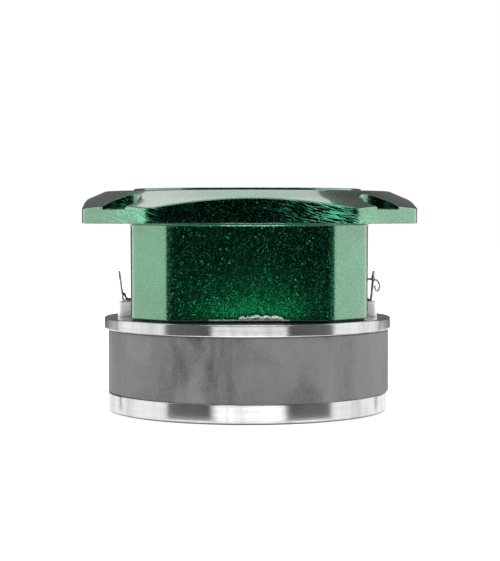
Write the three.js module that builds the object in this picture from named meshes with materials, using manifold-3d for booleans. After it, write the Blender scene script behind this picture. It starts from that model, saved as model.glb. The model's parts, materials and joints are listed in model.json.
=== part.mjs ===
// A bullet super tweeter: a small horn loudspeaker driver that stands on its magnet.
// Millimetres, +Z out of the horn mouth, origin at the middle of the back plate's lower face.
import * as THREE from "three";
import { mergeVertices } from "three/addons/utils/BufferGeometryUtils.js";
import Module from "manifold-3d";

const wasm = await Module();
wasm.setup();

// ---- Driving dimensions ----

// Magnet system, from the bottom up.
const BACK_PLATE_RADIUS = 42.5;
const BACK_PLATE_TOP = 5.7;
const MAGNET_RADIUS = 42.75;
const MAGNET_BORE = 22.5;
const MAGNET_OFFSET = 0.3;
const MAGNET_TOP = 24.8;
const TOP_PLATE_RADIUS = 43.6;
const TOP_PLATE_BORE = 20.2;
const TOP_PLATE_TOP = 28.3;
const POLE_RADIUS = 18.2;

// The casting: an octagonal body under a square flange with cut corners.
const GASKET_THICKNESS = 0.6;
const BODY_BOTTOM = TOP_PLATE_TOP + GASKET_THICKNESS;
const BODY_HALF_WIDTH = 34.8;
const BODY_HALF_FLAT = 23.35;
const BODY_CORNER_ROUNDING = 5;
const FLANGE_UNDERSIDE = 56.7;
const FLANGE_HALF_WIDTH = 48.5;
const FLANGE_HALF_FLAT = 29.0;
const FLANGE_CORNER_ROUNDING = 4.2;
const CONE_FOOT_RADIUS = 60;
const CONE_FOOT_Z = 59.7;
const CONE_KNEE_Z = 63.95;
const FACE_RADIUS = 43.1;
const FACE_TOP = 66.3;
const LIP_OUTER = 34.6;
const LIP_INNER = 32.7;
const LIP_TOP = 67.05;
const LIP_EDGE = 0.2;

// Mounting holes, in pockets that break out through the cut corners.
const MOUNTING_HALF_PITCH = 36.55;
const MOUNTING_HOLE = 2.2;
const POCKET_RADIUS = 5.7;
const POCKET_FLOOR = 60.7;

// The horn and the bullet: the passage between them grows exponentially from throat to mouth.
const THROAT_Z = 32.6;
const THROAT_RADIUS = 20.8;
const MOUTH_Z = 65.6;
const MOUTH_RADIUS = 31.6;
const BULLET_RADIUS = 17.8;
const BULLET_TIP = 63.5;
const BULLET_BASE = 30.25;
const SLOT_UNDERSIDE = 32.0;

// Ring diaphragm and voice coil.
const CLAMP_RADIUS = 15.2;
const RING_INNER = 17.4;
const RING_OUTER = 21.3;
const RING_REST_Z = 30.1;
const RING_RISE = 1.0;
const FILM = 0.15;
const FORMER_INNER = 19.05;
const FORMER_OUTER = 19.25;
const COIL_OUTER = 19.75;
const CARRIER_INNER = 24.3;
const CARRIER_LEDGE = 27.9;
const CARRIER_RADIUS = 31.6;
const CARRIER_TOP = 31.4;
const RECESS_RADIUS = 32.0;

// Terminal posts, which reach out through a window in each side of the body.
const POST_OUTER = 39.5;
const POST_TOP = 32.8;
const POST_HALF_WIDTH = 4;
const WINDOW_HALF_WIDTH = 4.6;
const WINDOW_TOP = 34.6;
const TAB_THICKNESS = 0.45;
const TAB_HALF_WIDTH = 1.5;
const TAB_TOP = 42;
const TAB_FOOT_INNER = 33.6;
const EYELET_Z = 39.4;
const EYELET_RADIUS = 0.8;
const RIVET_X = 36.4;
const RIVET_RADIUS = 0.6;
const RIVET_HEAD = 1.05;
const RIVET_HOLE = 0.75;
const WIRE_RADIUS = 0.35;

// Fasteners.
const SCREW_CIRCLE = 38;
const SCREW_RADIUS = 1.5;
const SCREW_HOLE = 1.65;
const SCREW_HEAD_RADIUS = 2.75;
const SCREW_SEAT = 60.4;
const SCREW_TIP = 25.4;
const WELL_RADIUS = 3.0;
const BOLT_RADIUS = 2.5;
const BOLT_BORE = 2.75;
const BOLT_HEAD_RADIUS = 4.6;
const BOLT_TIP = 45;
const PIN_CIRCLE = 29.7;
const PIN_RADIUS = 1.0;
const PIN_HOLE = 1.15;

// A small gap between pieces that rest against each other.
const CLEARANCE = 0.05;

// How many sides stand in for a circle: on holes, small rods, inner rings and the outer shapes.
const HOLE_SIDES = 12;
const SMALL_SIDES = 20;
const INNER_SIDES = 36;
const OUTER_SIDES = 48;

// ---- Materials ----

function finish(color, roughness, metalness) {
  return new THREE.MeshStandardMaterial({ color, roughness, metalness });
}

const greenCasting = finish(0x0f5a3c, 0.3, 0.6);
const polishedSteel = finish(0xc9ccd0, 0.2, 1);
const ferrite = finish(0x5c5d5f, 0.8, 0.1);
const nylon = finish(0xf0efeb, 0.45, 0);
const blackRubber = finish(0x141414, 0.8, 0);
const tinnedMetal = finish(0x6b6a68, 0.4, 1);
const copper = finish(0xb46a42, 0.3, 1);
const brass = finish(0xb59a50, 0.3, 1);
const aluminium = finish(0xb8bbbd, 0.3, 1);
const amberFilm = finish(0xa8702a, 0.3, 0);
const blackSteel = finish(0x1b1b1d, 0.4, 0.9);
const wireSleeve = finish(0x9a9a9a, 0.5, 0);

// ---- Helpers ----

// A closed three.js geometry as a manifold-3d solid.
function solid(geometry) {
  geometry.deleteAttribute("normal");
  geometry.deleteAttribute("uv");
  const merged = mergeVertices(geometry, 1e-3);
  return new wasm.Manifold(
    new wasm.Mesh({
      numProp: 3,
      vertProperties: merged.attributes.position.array,
      triVerts: new Uint32Array(merged.index.array),
    }),
  );
}

// A manifold-3d solid as a named three.js mesh.
function piece(name, shape, material) {
  const { vertProperties, triVerts } = shape.getMesh();
  const geometry = new THREE.BufferGeometry();
  geometry.setAttribute("position", new THREE.BufferAttribute(new Float32Array(vertProperties), 3));
  geometry.setIndex(new THREE.BufferAttribute(new Uint32Array(triVerts), 1));
  geometry.computeVertexNormals();
  const mesh = new THREE.Mesh(geometry, material);
  mesh.name = name;
  return mesh;
}

// A profile of [radius, height] pairs, turned about Z. One that leaves the axis closes on itself.
function turned(profile, sides = OUTER_SIDES) {
  const points = profile.map(([radius, height]) => new THREE.Vector2(radius, height));
  if (THREE.ShapeUtils.isClockWise(points)) points.reverse();
  if (points[0].x > 0) points.push(points[0].clone());
  return solid(new THREE.LatheGeometry(points, sides).rotateX(Math.PI / 2));
}

// An upright rod at (x, y).
function rod(radius, bottom, top, x = 0, y = 0, sides = SMALL_SIDES) {
  const profile = [[0, bottom], [radius, bottom], [radius, top], [0, top]];
  return turned(profile, sides).translate([x, y, 0]);
}

// A ring with a square section.
function ring(inner, outer, bottom, top) {
  return turned([[inner, bottom], [outer, bottom], [outer, top], [inner, top]], INNER_SIDES);
}

function box(x, y, z) {
  const geometry = new THREE.BoxGeometry(x[1] - x[0], y[1] - y[0], z[1] - z[0]);
  geometry.translate((x[0] + x[1]) / 2, (y[0] + y[1]) / 2, (z[0] + z[1]) / 2);
  return solid(geometry);
}

function extruded(shape, bottom, top, curveSegments = 2) {
  const options = { depth: top - bottom, bevelEnabled: false, curveSegments };
  const geometry = new THREE.ExtrudeGeometry(shape, options);
  return solid(geometry.translate(0, 0, bottom));
}

// A square with cut corners, whose eight vertices are rounded.
function cutCornerSquare(halfWidth, halfFlat, rounding) {
  const shape = new THREE.Shape();
  const eighth = Math.PI / 4;
  const inset = rounding / Math.cos(eighth / 2);
  for (let corner = 0; corner < 8; corner++) {
    const place = corner % 2 ? [halfFlat, halfWidth] : [halfWidth, halfFlat];
    const vertex = new THREE.Vector2(...place);
    vertex.rotateAround(new THREE.Vector2(), Math.floor(corner / 2) * 2 * eighth);
    const outward = (corner + 0.5) * eighth;
    const x = vertex.x - inset * Math.cos(outward);
    const y = vertex.y - inset * Math.sin(outward);
    shape.absarc(x, y, rounding, corner * eighth, (corner + 1) * eighth);
  }
  shape.closePath();
  return shape;
}

// The four diagonal places at a distance from the axis, front left first.
function diagonals(distance) {
  const offset = distance / Math.SQRT2;
  return [
    { corner: "front_left", x: -offset, y: -offset },
    { corner: "front_right", x: offset, y: -offset },
    { corner: "rear_right", x: offset, y: offset },
    { corner: "rear_left", x: -offset, y: offset },
  ];
}

const evenSteps = (count, make) => Array.from({ length: count + 1 }, (_, index) => make(index / count));

// ---- Horn passage ----

function bulletRadius(z) {
  const done = (z - THROAT_Z) / (BULLET_TIP - THROAT_Z);
  return BULLET_RADIUS * Math.sqrt(Math.max(0, 1 - done));
}

function hornRadius(z) {
  const throatArea = THROAT_RADIUS ** 2 - BULLET_RADIUS ** 2;
  const growth = Math.log(MOUTH_RADIUS ** 2 / throatArea) / (MOUTH_Z - THROAT_Z);
  return Math.sqrt(bulletRadius(z) ** 2 + throatArea * Math.exp(growth * (z - THROAT_Z)));
}

// ---- Magnet system ----

function backPlate() {
  const bottomEdge = 0.8;
  const topEdge = 0.3;
  const sinkRadius = BOLT_HEAD_RADIUS + 0.7;
  const sinkDepth = sinkRadius - BOLT_BORE;
  return turned([
    [sinkRadius, 0],
    [BACK_PLATE_RADIUS - bottomEdge, 0],
    [BACK_PLATE_RADIUS - bottomEdge * 0.3, bottomEdge * 0.3],
    [BACK_PLATE_RADIUS, bottomEdge],
    [BACK_PLATE_RADIUS, BACK_PLATE_TOP - topEdge],
    [BACK_PLATE_RADIUS - topEdge, BACK_PLATE_TOP],
    [BOLT_BORE, BACK_PLATE_TOP],
    [BOLT_BORE, sinkDepth],
  ]);
}

// The ring is glued a little off centre.
function magnetRing() {
  const chamfer = 0.35;
  const bottom = BACK_PLATE_TOP;
  return turned([
    [MAGNET_BORE, bottom],
    [MAGNET_RADIUS - chamfer, bottom],
    [MAGNET_RADIUS, bottom + chamfer],
    [MAGNET_RADIUS, MAGNET_TOP - chamfer],
    [MAGNET_RADIUS - chamfer, MAGNET_TOP],
    [MAGNET_BORE, MAGNET_TOP],
  ]).translate([MAGNET_OFFSET, 0, 0]);
}

function topPlate() {
  const edge = 0.4;
  let plate = turned([
    [TOP_PLATE_BORE, MAGNET_TOP],
    [TOP_PLATE_RADIUS - edge, MAGNET_TOP],
    [TOP_PLATE_RADIUS, MAGNET_TOP + edge],
    [TOP_PLATE_RADIUS, TOP_PLATE_TOP - edge],
    [TOP_PLATE_RADIUS - edge, TOP_PLATE_TOP],
    [TOP_PLATE_BORE, TOP_PLATE_TOP],
  ]);
  for (const { x, y } of diagonals(SCREW_CIRCLE)) {
    plate = plate.subtract(rod(SCREW_HOLE, MAGNET_TOP - 1, TOP_PLATE_TOP + 1, x, y, HOLE_SIDES));
  }
  for (const y of [-PIN_CIRCLE, PIN_CIRCLE]) {
    plate = plate.subtract(rod(PIN_HOLE, MAGNET_TOP - 1, TOP_PLATE_TOP + 1, 0, y, HOLE_SIDES));
  }
  return plate;
}

function polePiece() {
  return ring(BOLT_BORE, POLE_RADIUS, BACK_PLATE_TOP, TOP_PLATE_TOP);
}

function copperPoleCap() {
  const skirtBottom = 20;
  const inner = POLE_RADIUS + CLEARANCE;
  const outer = POLE_RADIUS + 0.45;
  const underside = TOP_PLATE_TOP + CLEARANCE;
  const top = underside + 0.4;
  return turned([
    [inner, skirtBottom],
    [outer, skirtBottom],
    [outer, top],
    [BOLT_BORE, top],
    [BOLT_BORE, underside],
    [inner, underside],
  ], INNER_SIDES);
}

// ---- Casting ----

// Flange face, lip and the solid below them, turned about the axis before the outline trims it.
function flangeBlank() {
  const below = FLANGE_UNDERSIDE - 5;
  return turned([
    [0, below],
    [CONE_FOOT_RADIUS, below],
    [CONE_FOOT_RADIUS, CONE_FOOT_Z],
    [FLANGE_HALF_WIDTH, CONE_KNEE_Z],
    [FACE_RADIUS, FACE_TOP],
    [LIP_OUTER, FACE_TOP],
    [LIP_OUTER, LIP_TOP - LIP_EDGE],
    [LIP_OUTER - LIP_EDGE, LIP_TOP],
    [0, LIP_TOP],
  ]);
}

// Everything hollow inside the casting: the seat of the diaphragm, the throat and the flare.
function hornHollow() {
  const flare = evenSteps(9, (t) => {
    const z = THREE.MathUtils.lerp(THROAT_Z, MOUTH_Z, t);
    return [hornRadius(z), z];
  });
  const seat = RING_REST_Z + FILM + CLEARANCE * 2;
  const above = LIP_TOP + 2;
  return turned([
    [0, BODY_BOTTOM - 1],
    [RECESS_RADIUS, BODY_BOTTOM - 1],
    [RECESS_RADIUS, CARRIER_TOP + 0.2],
    [CARRIER_LEDGE - 0.2, CARRIER_TOP + 0.2],
    [CARRIER_LEDGE - 0.2, seat],
    [CARRIER_INNER, seat],
    [CARRIER_INNER, SLOT_UNDERSIDE],
    [THROAT_RADIUS, SLOT_UNDERSIDE],
    ...flare,
    [LIP_INNER, LIP_TOP - LIP_EDGE],
    [LIP_INNER + LIP_EDGE, LIP_TOP],
    [LIP_INNER + LIP_EDGE, above],
    [0, above],
  ]);
}

function hornCasting() {
  const flangeOutline = cutCornerSquare(FLANGE_HALF_WIDTH, FLANGE_HALF_FLAT, FLANGE_CORNER_ROUNDING);
  const bodyOutline = cutCornerSquare(BODY_HALF_WIDTH, BODY_HALF_FLAT, BODY_CORNER_ROUNDING);
  const above = LIP_TOP + 3;
  let casting = extruded(flangeOutline, FLANGE_UNDERSIDE, above).intersect(flangeBlank());
  casting = casting.add(extruded(bodyOutline, BODY_BOTTOM, FLANGE_UNDERSIDE + 1));
  casting = casting.subtract(hornHollow());
  for (const { x, y } of diagonals(MOUNTING_HALF_PITCH * Math.SQRT2)) {
    casting = casting.subtract(rod(MOUNTING_HOLE, FLANGE_UNDERSIDE - 1, above, x, y));
    casting = casting.subtract(rod(POCKET_RADIUS, POCKET_FLOOR, above, x, y, INNER_SIDES));
  }
  for (const { x, y } of diagonals(SCREW_CIRCLE)) {
    casting = casting.subtract(rod(SCREW_HOLE, BODY_BOTTOM - 1, above, x, y, HOLE_SIDES));
    casting = casting.subtract(rod(WELL_RADIUS, SCREW_SEAT, above, x, y));
  }
  const windowStart = CARRIER_RADIUS - 1.6;
  for (const side of [-1, 1]) {
    const reach = [side * windowStart, side * (BODY_HALF_WIDTH + 1)].sort((a, b) => a - b);
    const width = [-WINDOW_HALF_WIDTH, WINDOW_HALF_WIDTH];
    casting = casting.subtract(box(reach, width, [BODY_BOTTOM - 1, WINDOW_TOP]));
  }
  return casting;
}

function bodyGasket() {
  const inset = 1;
  const outline = cutCornerSquare(BODY_HALF_WIDTH - inset, BODY_HALF_FLAT - inset / 2, BODY_CORNER_ROUNDING);
  let gasket = extruded(outline, TOP_PLATE_TOP, BODY_BOTTOM);
  gasket = gasket.subtract(rod(RECESS_RADIUS + 0.3, TOP_PLATE_TOP - 1, BODY_BOTTOM + 1, 0, 0, OUTER_SIDES));
  for (const { x, y } of diagonals(SCREW_CIRCLE)) {
    gasket = gasket.subtract(rod(SCREW_HOLE, TOP_PLATE_TOP - 1, BODY_BOTTOM + 1, x, y, HOLE_SIDES));
  }
  return gasket;
}

// ---- Bullet and its bolt ----

function bullet() {
  const skirt = 0.6;
  const nose = evenSteps(8, (t) => {
    const z = THREE.MathUtils.lerp(THROAT_Z, BULLET_TIP, 1 - (1 - t) ** 2);
    return [bulletRadius(z), z];
  });
  return turned([
    [0, BOLT_TIP + 2],
    [BOLT_BORE, BOLT_TIP + 1],
    [BOLT_BORE, BULLET_BASE],
    [CLAMP_RADIUS, BULLET_BASE],
    [CLAMP_RADIUS + 0.3, SLOT_UNDERSIDE - skirt],
    [BULLET_RADIUS, SLOT_UNDERSIDE],
    ...nose,
  ]);
}

function hexSocket(acrossFlats, bottom, top) {
  const corner = acrossFlats / Math.sqrt(3);
  const geometry = new THREE.CylinderGeometry(corner, corner, top - bottom, 6);
  return solid(geometry.rotateX(Math.PI / 2).translate(0, 0, (top + bottom) / 2));
}

function bulletBolt() {
  const face = 0.25;
  const shank = turned([
    [0, face],
    [BOLT_HEAD_RADIUS, face],
    [BOLT_HEAD_RADIUS, face + 0.3],
    [BOLT_RADIUS, face + 0.3 + BOLT_HEAD_RADIUS - BOLT_RADIUS],
    [BOLT_RADIUS, BOLT_TIP - 0.5],
    [BOLT_RADIUS - 0.5, BOLT_TIP],
    [0, BOLT_TIP],
  ], SMALL_SIDES);
  return shank.subtract(hexSocket(3, face - 1, face + 2));
}

function innerClampRing() {
  return ring(BOLT_BORE, CLAMP_RADIUS, TOP_PLATE_TOP + 0.5, RING_REST_Z - CLEARANCE);
}

// ---- Diaphragm and voice coil ----

// A thin ring with a roof-shaped section, whose ridge sits over the coil.
function diaphragmRing() {
  const ridge = (FORMER_INNER + FORMER_OUTER) / 2 + 0.1;
  const shell = 0.2;
  return turned([
    [RING_INNER, RING_REST_Z],
    [RING_INNER + 0.5, RING_REST_Z],
    [ridge, RING_REST_Z + RING_RISE],
    [RING_OUTER - 0.5, RING_REST_Z],
    [RING_OUTER, RING_REST_Z],
    [RING_OUTER, RING_REST_Z + shell],
    [RING_OUTER - 0.4, RING_REST_Z + shell],
    [ridge, RING_REST_Z + RING_RISE + shell],
    [RING_INNER + 0.4, RING_REST_Z + shell],
    [RING_INNER, RING_REST_Z + shell],
  ], INNER_SIDES);
}

// A film ring with one half roll between the edge that is clamped and the edge that moves.
function suspension(clampedEdge, rollStart, movingEdge) {
  const rollHeight = 0.5;
  const roll = evenSteps(4, (t) => {
    const radius = THREE.MathUtils.lerp(rollStart, movingEdge, t);
    return [radius, RING_REST_Z + rollHeight * Math.sin(Math.PI * t)];
  });
  const underside = [[clampedEdge, RING_REST_Z], ...roll];
  const upperSide = underside.map(([radius, z]) => [radius, z + FILM]).reverse();
  return turned([...underside, ...upperSide], INNER_SIDES);
}

function innerSuspension() {
  return suspension(CLAMP_RADIUS - 2, CLAMP_RADIUS + 0.3, RING_INNER - 0.1);
}

function outerSuspension() {
  return suspension(CARRIER_INNER + 2.2, CARRIER_INNER - 0.3, RING_OUTER + 0.1);
}

function voiceCoilFormer() {
  return ring(FORMER_INNER, FORMER_OUTER, MAGNET_TOP - 0.4, RING_REST_Z + RING_RISE - 0.3);
}

function voiceCoilWinding() {
  return ring(FORMER_OUTER + CLEARANCE, COIL_OUTER, MAGNET_TOP + 0.1, TOP_PLATE_TOP - 0.1);
}

// ---- Carrier, terminals and leads ----

// The post's outline from above: an arm that ends in two rounded corners.
function armOutline(side, inner) {
  const rounding = 1.6;
  const x = POST_OUTER - rounding;
  const y = POST_HALF_WIDTH - rounding;
  const shape = new THREE.Shape();
  shape.moveTo(inner, -POST_HALF_WIDTH);
  shape.absarc(x, -y, rounding, -Math.PI / 2, 0);
  shape.absarc(x, y, rounding, 0, Math.PI / 2);
  shape.lineTo(inner, POST_HALF_WIDTH);
  shape.closePath();
  if (side > 0) return shape;
  return new THREE.Shape(shape.getPoints(3).map((point) => new THREE.Vector2(-point.x, point.y)));
}

function diaphragmCarrier() {
  const bottom = TOP_PLATE_TOP + CLEARANCE;
  let carrier = turned([
    [CARRIER_INNER, bottom],
    [CARRIER_RADIUS, bottom],
    [CARRIER_RADIUS, CARRIER_TOP],
    [CARRIER_LEDGE, CARRIER_TOP],
    [CARRIER_LEDGE, RING_REST_Z - CLEARANCE],
    [CARRIER_INNER, RING_REST_Z - CLEARANCE],
  ]);
  const archUnderside = BODY_BOTTOM + CLEARANCE;
  const postInner = BODY_HALF_WIDTH + 0.4;
  for (const side of [-1, 1]) {
    const lowArm = extruded(armOutline(side, CARRIER_RADIUS - 1.2), archUnderside, CARRIER_TOP, 3);
    const riser = extruded(armOutline(side, RECESS_RADIUS + 0.4), archUnderside, POST_TOP, 3);
    const post = extruded(armOutline(side, postInner), bottom, POST_TOP, 3);
    carrier = carrier.add(lowArm).add(riser).add(post);
    const rivetHole = rod(RIVET_HOLE, POST_TOP - 3, POST_TOP + 1, side * RIVET_X, 0, HOLE_SIDES);
    carrier = carrier.subtract(rivetHole);
    carrier = carrier.subtract(rod(PIN_HOLE, bottom - 1, CARRIER_TOP + 1, 0, side * PIN_CIRCLE, HOLE_SIDES));
  }
  return carrier;
}

// A bent strip: a foot on the post and a blade that leans outwards, with an eyelet near its top.
function terminalTab(side, bladeFoot, bladeTop) {
  const footZ = POST_TOP + CLEARANCE;
  const section = new THREE.Shape();
  section.moveTo(TAB_FOOT_INNER, footZ);
  section.lineTo(bladeFoot, footZ);
  section.lineTo(bladeTop, TAB_TOP);
  section.lineTo(bladeTop - TAB_THICKNESS, TAB_TOP);
  section.lineTo(bladeFoot - TAB_THICKNESS, footZ + TAB_THICKNESS);
  section.lineTo(TAB_FOOT_INNER, footZ + TAB_THICKNESS);
  const strip = new THREE.ExtrudeGeometry(section, { depth: 2 * TAB_HALF_WIDTH, bevelEnabled: false });
  strip.rotateX(Math.PI / 2).translate(0, TAB_HALF_WIDTH, 0);
  const eyelet = new THREE.CylinderGeometry(EYELET_RADIUS, EYELET_RADIUS, 6, HOLE_SIDES);
  eyelet.rotateZ(Math.PI / 2).translate((bladeFoot + bladeTop) / 2, 0, EYELET_Z);
  const rivetHole = rod(RIVET_HOLE, footZ - 1, footZ + 1, RIVET_X, 0, HOLE_SIDES);
  const tab = solid(strip).subtract(solid(eyelet)).subtract(rivetHole);
  return side > 0 ? tab : tab.rotate([0, 0, 180]);
}

function terminalRivet(side) {
  const headBottom = POST_TOP + TAB_THICKNESS + 2 * CLEARANCE;
  return turned([
    [0, POST_TOP - 2.5],
    [RIVET_RADIUS, POST_TOP - 2.5],
    [RIVET_RADIUS, headBottom],
    [RIVET_HEAD, headBottom],
    [RIVET_HEAD - 0.25, headBottom + 0.45],
    [0, headBottom + 0.5],
  ], HOLE_SIDES).translate([side * RIVET_X, 0, 0]);
}

// A thin insulated wire along hand-placed points.
function leadWire(points, steps) {
  const route = new THREE.CatmullRomCurve3(points.map((point) => new THREE.Vector3(...point)));
  const section = new THREE.Shape();
  section.absarc(0, 0, WIRE_RADIUS, 0, 2 * Math.PI);
  return solid(new THREE.ExtrudeGeometry(section, { steps, extrudePath: route, curveSegments: 4 }));
}

// Out of the window, up beside the body, through the eyelet and down in a hook outside the tab.
const RIGHT_LEAD = [
  [33.3, 2.4, 33.3],
  [34.6, 2.5, 33.5],
  [35.6, 2.5, 34.8],
  [35.7, 2.2, 37.0],
  [36.0, 1.2, 38.9],
  [37.1, 0.2, 39.5],
  [38.4, 0.0, 39.4],
  [39.7, -0.2, 39.1],
  [40.5, -0.4, 38.0],
  [40.5, -0.5, 36.8],
  [39.9, -0.5, 35.9],
  [39.3, -0.5, 36.3],
  [39.1, -0.5, 37.6],
];

// Out of the window, low over the post behind the rivet, and up the inner side of the tab.
const LEFT_LEAD = [
  [-33.3, 2.4, 33.3],
  [-34.6, 2.6, 33.4],
  [-35.8, 2.8, 33.4],
  [-36.8, 2.4, 33.5],
  [-37.3, 1.6, 34.1],
  [-37.45, 0.7, 35.0],
];

// ---- Fasteners ----

function assemblyScrew(x, y) {
  const headTop = SCREW_SEAT + 3;
  const screw = turned([
    [0, SCREW_TIP],
    [SCREW_RADIUS - 0.3, SCREW_TIP],
    [SCREW_RADIUS, SCREW_TIP + 0.3],
    [SCREW_RADIUS, SCREW_SEAT + CLEARANCE],
    [SCREW_HEAD_RADIUS, SCREW_SEAT + CLEARANCE],
    [SCREW_HEAD_RADIUS, headTop - 0.3],
    [SCREW_HEAD_RADIUS - 0.3, headTop],
    [0, headTop],
  ], SMALL_SIDES);
  return screw.subtract(hexSocket(2.5, headTop - 1.5, headTop + 1)).translate([x, y, 0]);
}

function locatingPin(side) {
  return rod(PIN_RADIUS, MAGNET_TOP + 0.5, CARRIER_TOP - 0.3, 0, side * PIN_CIRCLE, HOLE_SIDES);
}

// ---- The assembly ----

const magnetSystem = new THREE.Group();
magnetSystem.add(
  piece("back_plate", backPlate(), polishedSteel),
  piece("pole_piece", polePiece(), polishedSteel),
  piece("magnet_ring", magnetRing(), ferrite),
  piece("top_plate", topPlate(), polishedSteel),
  piece("copper_pole_cap", copperPoleCap(), copper),
  piece("locating_pin_front", locatingPin(-1), brass),
  piece("locating_pin_back", locatingPin(1), brass),
);

const movingSystem = new THREE.Group();
movingSystem.add(
  piece("diaphragm_ring", diaphragmRing(), aluminium),
  piece("voice_coil_former", voiceCoilFormer(), amberFilm),
  piece("voice_coil_winding", voiceCoilWinding(), copper),
);

const diaphragmMounting = new THREE.Group();
diaphragmMounting.add(
  piece("diaphragm_carrier", diaphragmCarrier(), nylon),
  piece("inner_suspension", innerSuspension(), amberFilm),
  piece("outer_suspension", outerSuspension(), amberFilm),
  piece("inner_clamp_ring", innerClampRing(), aluminium),
  piece("terminal_tab_left", terminalTab(-1, 38.2, 39.4), tinnedMetal),
  piece("terminal_tab_right", terminalTab(1, 38.2, 39.0), tinnedMetal),
  piece("terminal_rivet_left", terminalRivet(-1), tinnedMetal),
  piece("terminal_rivet_right", terminalRivet(1), tinnedMetal),
  piece("lead_wire_left", leadWire(LEFT_LEAD, 12), wireSleeve),
  piece("lead_wire_right", leadWire(RIGHT_LEAD, 32), wireSleeve),
);

const hornAssembly = new THREE.Group();
hornAssembly.add(
  piece("horn_casting", hornCasting(), greenCasting),
  piece("body_gasket", bodyGasket(), blackRubber),
  piece("bullet", bullet(), greenCasting),
  piece("bullet_bolt", bulletBolt(), blackSteel),
);
for (const { corner, x, y } of diagonals(SCREW_CIRCLE)) {
  hornAssembly.add(piece(`assembly_screw_${corner}`, assemblyScrew(x, y), blackSteel));
}

const tweeter = new THREE.Group();
tweeter.add(magnetSystem, movingSystem, diaphragmMounting, hornAssembly);

export default tweeter;
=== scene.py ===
"""A bullet super tweeter, built round its CAD frame.

The frame's axes are kept: +Z out of the horn mouth, -Y to the front. Shapes are written in millimetres and
become metres as their meshes are made.
"""
import json
import math

import bmesh
import bpy
from mathutils import Matrix, Vector, noise

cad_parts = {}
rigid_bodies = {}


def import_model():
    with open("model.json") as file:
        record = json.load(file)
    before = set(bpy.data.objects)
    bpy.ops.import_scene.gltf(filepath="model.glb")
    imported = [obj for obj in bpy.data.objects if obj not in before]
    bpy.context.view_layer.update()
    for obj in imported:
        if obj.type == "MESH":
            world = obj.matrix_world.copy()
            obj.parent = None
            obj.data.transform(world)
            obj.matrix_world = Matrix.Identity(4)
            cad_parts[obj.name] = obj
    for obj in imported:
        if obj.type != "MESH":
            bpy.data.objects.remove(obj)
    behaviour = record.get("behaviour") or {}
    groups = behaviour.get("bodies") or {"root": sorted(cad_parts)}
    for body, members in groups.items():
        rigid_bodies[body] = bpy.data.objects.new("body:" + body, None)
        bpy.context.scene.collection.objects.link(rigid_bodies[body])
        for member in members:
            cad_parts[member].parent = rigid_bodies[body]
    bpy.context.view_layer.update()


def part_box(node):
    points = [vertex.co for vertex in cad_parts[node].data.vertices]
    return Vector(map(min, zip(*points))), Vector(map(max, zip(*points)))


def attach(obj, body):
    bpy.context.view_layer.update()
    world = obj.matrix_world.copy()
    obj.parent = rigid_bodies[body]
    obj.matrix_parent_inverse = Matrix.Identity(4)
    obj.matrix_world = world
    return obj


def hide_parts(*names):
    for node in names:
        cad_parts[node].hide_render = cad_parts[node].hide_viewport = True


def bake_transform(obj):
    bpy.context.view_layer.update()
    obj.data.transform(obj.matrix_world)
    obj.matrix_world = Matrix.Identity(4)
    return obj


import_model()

MM = 0.001
DRIVER = "driver"
MOVING = "moving_system"

# ---- Sizes shared with the CAD, in millimetres ----

BODY_HALF_WIDTH = 34.8
BODY_HALF_FLAT = 23.35
BODY_ROUNDING = 5.0
BODY_BOTTOM = 28.9
FLANGE_HALF_WIDTH = 48.5
FLANGE_HALF_FLAT = 29.0
FLANGE_ROUNDING = 4.2
FLANGE_UNDERSIDE = 56.7
CONE_FOOT = (60.0, 59.7)
CONE_KNEE = (48.5, 63.95)
FACE_EDGE = (43.1, 66.3)
LIP_OUTER = 34.6
LIP_INNER = 32.7
LIP_TOP = 67.05
POCKET_PLACE = 36.55
POCKET_RADIUS = 5.7
POCKET_FLOOR = 60.7
MOUNTING_HOLE = 2.2
THROAT_Z = 32.6
THROAT_RADIUS = 20.8
MOUTH_Z = 65.6
MOUTH_RADIUS = 31.6
BULLET_RADIUS = 17.8
BULLET_TIP = 63.5
BULLET_BASE = 30.25
SLOT_UNDERSIDE = 32.0
RECESS_RADIUS = 32.0
CARRIER_INNER = 24.3
CARRIER_LEDGE = 27.9
CARRIER_RADIUS = 31.6
CARRIER_TOP = 31.4
FILM_Z = 30.1
FILM = 0.15
RING_INNER = 17.4
RING_OUTER = 21.3
CLAMP_RADIUS = 15.2
SCREW_PLACE = 38 / math.sqrt(2)
SCREW_HOLE = 1.65
SCREW_SEAT = 60.4
WELL_RADIUS = 3.0
BOLT_BORE = 2.75
BOLT_TIP = 45.0
PIN_CIRCLE = 29.7
PIN_HOLE = 1.15
WINDOW_HALF_WIDTH = 4.6
WINDOW_TOP = 34.6
POST_OUTER = 39.5
POST_TOP = 32.8
POST_HALF_WIDTH = 4.0
EYELET_Z = 39.4
RIVET_X = 36.4
RIVET_HOLE = 0.75
WIRE_RADIUS = 0.35

CORNERS = {"front_left": (-1, -1), "front_right": (1, -1), "rear_right": (1, 1), "rear_left": (-1, 1)}

# Sides that stand in for a circle.
FINE = 240
MEDIUM = 128
SMALL = 48


# ---- Camera ----

CAMERA_PLACE = (-0.0142, -0.5048, 0.0594)
CAMERA_TARGET = (0.0008, 0.0, 0.0391)
CAMERA_LENS = 105.88


def make_camera():
    data = bpy.data.cameras.new("camera")
    data.lens = CAMERA_LENS
    data.sensor_width = 36
    data.clip_start = 0.01
    data.clip_end = 50
    camera = bpy.data.objects.new("camera", data)
    camera.location = CAMERA_PLACE
    direction = Vector(CAMERA_TARGET) - Vector(CAMERA_PLACE)
    camera.rotation_euler = direction.to_track_quat("-Z", "Y").to_euler()
    bpy.context.collection.objects.link(camera)
    bpy.context.scene.camera = camera


# ---- Mesh helpers ----


def link(name, mesh):
    obj = bpy.data.objects.new(name, mesh)
    bpy.context.collection.objects.link(obj)
    return obj


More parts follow.
